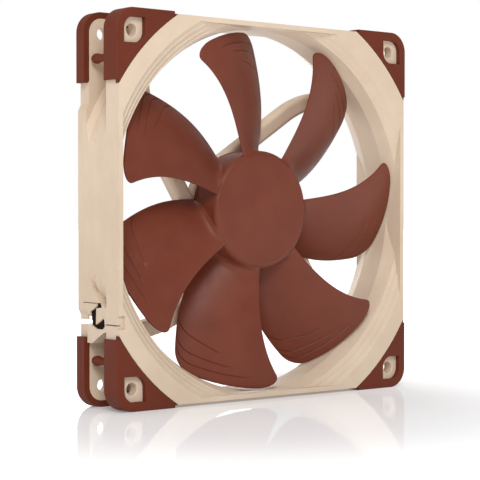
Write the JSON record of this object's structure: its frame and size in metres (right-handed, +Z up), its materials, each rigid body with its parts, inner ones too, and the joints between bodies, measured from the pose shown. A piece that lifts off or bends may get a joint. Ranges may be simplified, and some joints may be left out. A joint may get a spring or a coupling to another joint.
{
  "type": "case fan",
  "caption": "Square axial case fan with a stepped beige moulding, brown forward-swept impeller, brown rubber corner pads and a brushless motor in the hub.",
  "frame": {"origin": "on the rotor's axis at the middle of the fan's depth", "axes": "+Y along the rotor's axis in the direction of the air, from intake to outlet, +Z up, +X to the right seen from the intake side"},
  "size_m": [0.14, 0.025, 0.14],
  "materials": {
    "beige_plastic": "moulded, fine satin grain",
    "brown_plastic": "moulded, satin",
    "brown_rubber": "matt silicone rubber",
    "black_rubber": "matt",
    "cup_steel": "drawn and nickel plated",
    "magnet_ferrite": "bonded ferrite, matt",
    "brass": "turned",
    "shaft_steel": "ground and hardened",
    "sintered_bronze": "porous sintered metal",
    "nylon_white": "natural nylon",
    "nylon_dark": "filled nylon",
    "label_film": "plain polyester film",
    "lamination_steel": "punched sheets",
    "insulator_plastic": "glass filled",
    "tinned_metal": "tinned",
    "board_green": "solder mask",
    "chip_black": "moulded epoxy",
    "capacitor_tan": "fired ceramic",
    "copper_wire": "enamelled"
  },
  "bodies": {
    "housing": {"frame": "beige_plastic", "bearing_tube": "brass", "bearing_sleeve": "sintered_bronze", "oil_ring": "nylon_white", "retaining_clip": "nylon_white", "thrust_pad": "nylon_dark", "bearing_cap": "nylon_dark", "rear_label": "label_film", "stator_core": "lamination_steel", "front_insulator": "insulator_plastic", "rear_insulator": "insulator_plastic", "terminal_pins": "tinned_metal", "circuit_board": "board_green", "driver_chip": "chip_black", "hall_sensor": "chip_black", "capacitor": "capacitor_tan", "lead_grommet": "black_rubber", "resistors": "chip_black", "diode": "chip_black", "lead_joints": "tinned_metal", "front_pad_top_left": "brown_rubber", "front_pad_top_right": "brown_rubber", "front_pad_bottom_left": "brown_rubber", "front_pad_bottom_right": "brown_rubber", "rear_pad_top_left": "brown_rubber", "rear_pad_top_right": "brown_rubber", "rear_pad_bottom_left": "brown_rubber", "rear_pad_bottom_right": "brown_rubber", "coil_1": "copper_wire", "coil_2": "copper_wire", "coil_3": "copper_wire", "coil_4": "copper_wire"},
    "rotor": {"impeller": "brown_plastic", "rotor_cup": "cup_steel", "ring_magnet": "magnet_ferrite", "shaft_bush": "brass", "shaft": "shaft_steel"}
  },
  "joints": [
    {"name": "rotor_spin", "type": "hinge", "parent": "housing", "child": "rotor", "pos_m": [0, 0, 0], "axis": [0, -1, 0], "continuous": true}
  ]
}
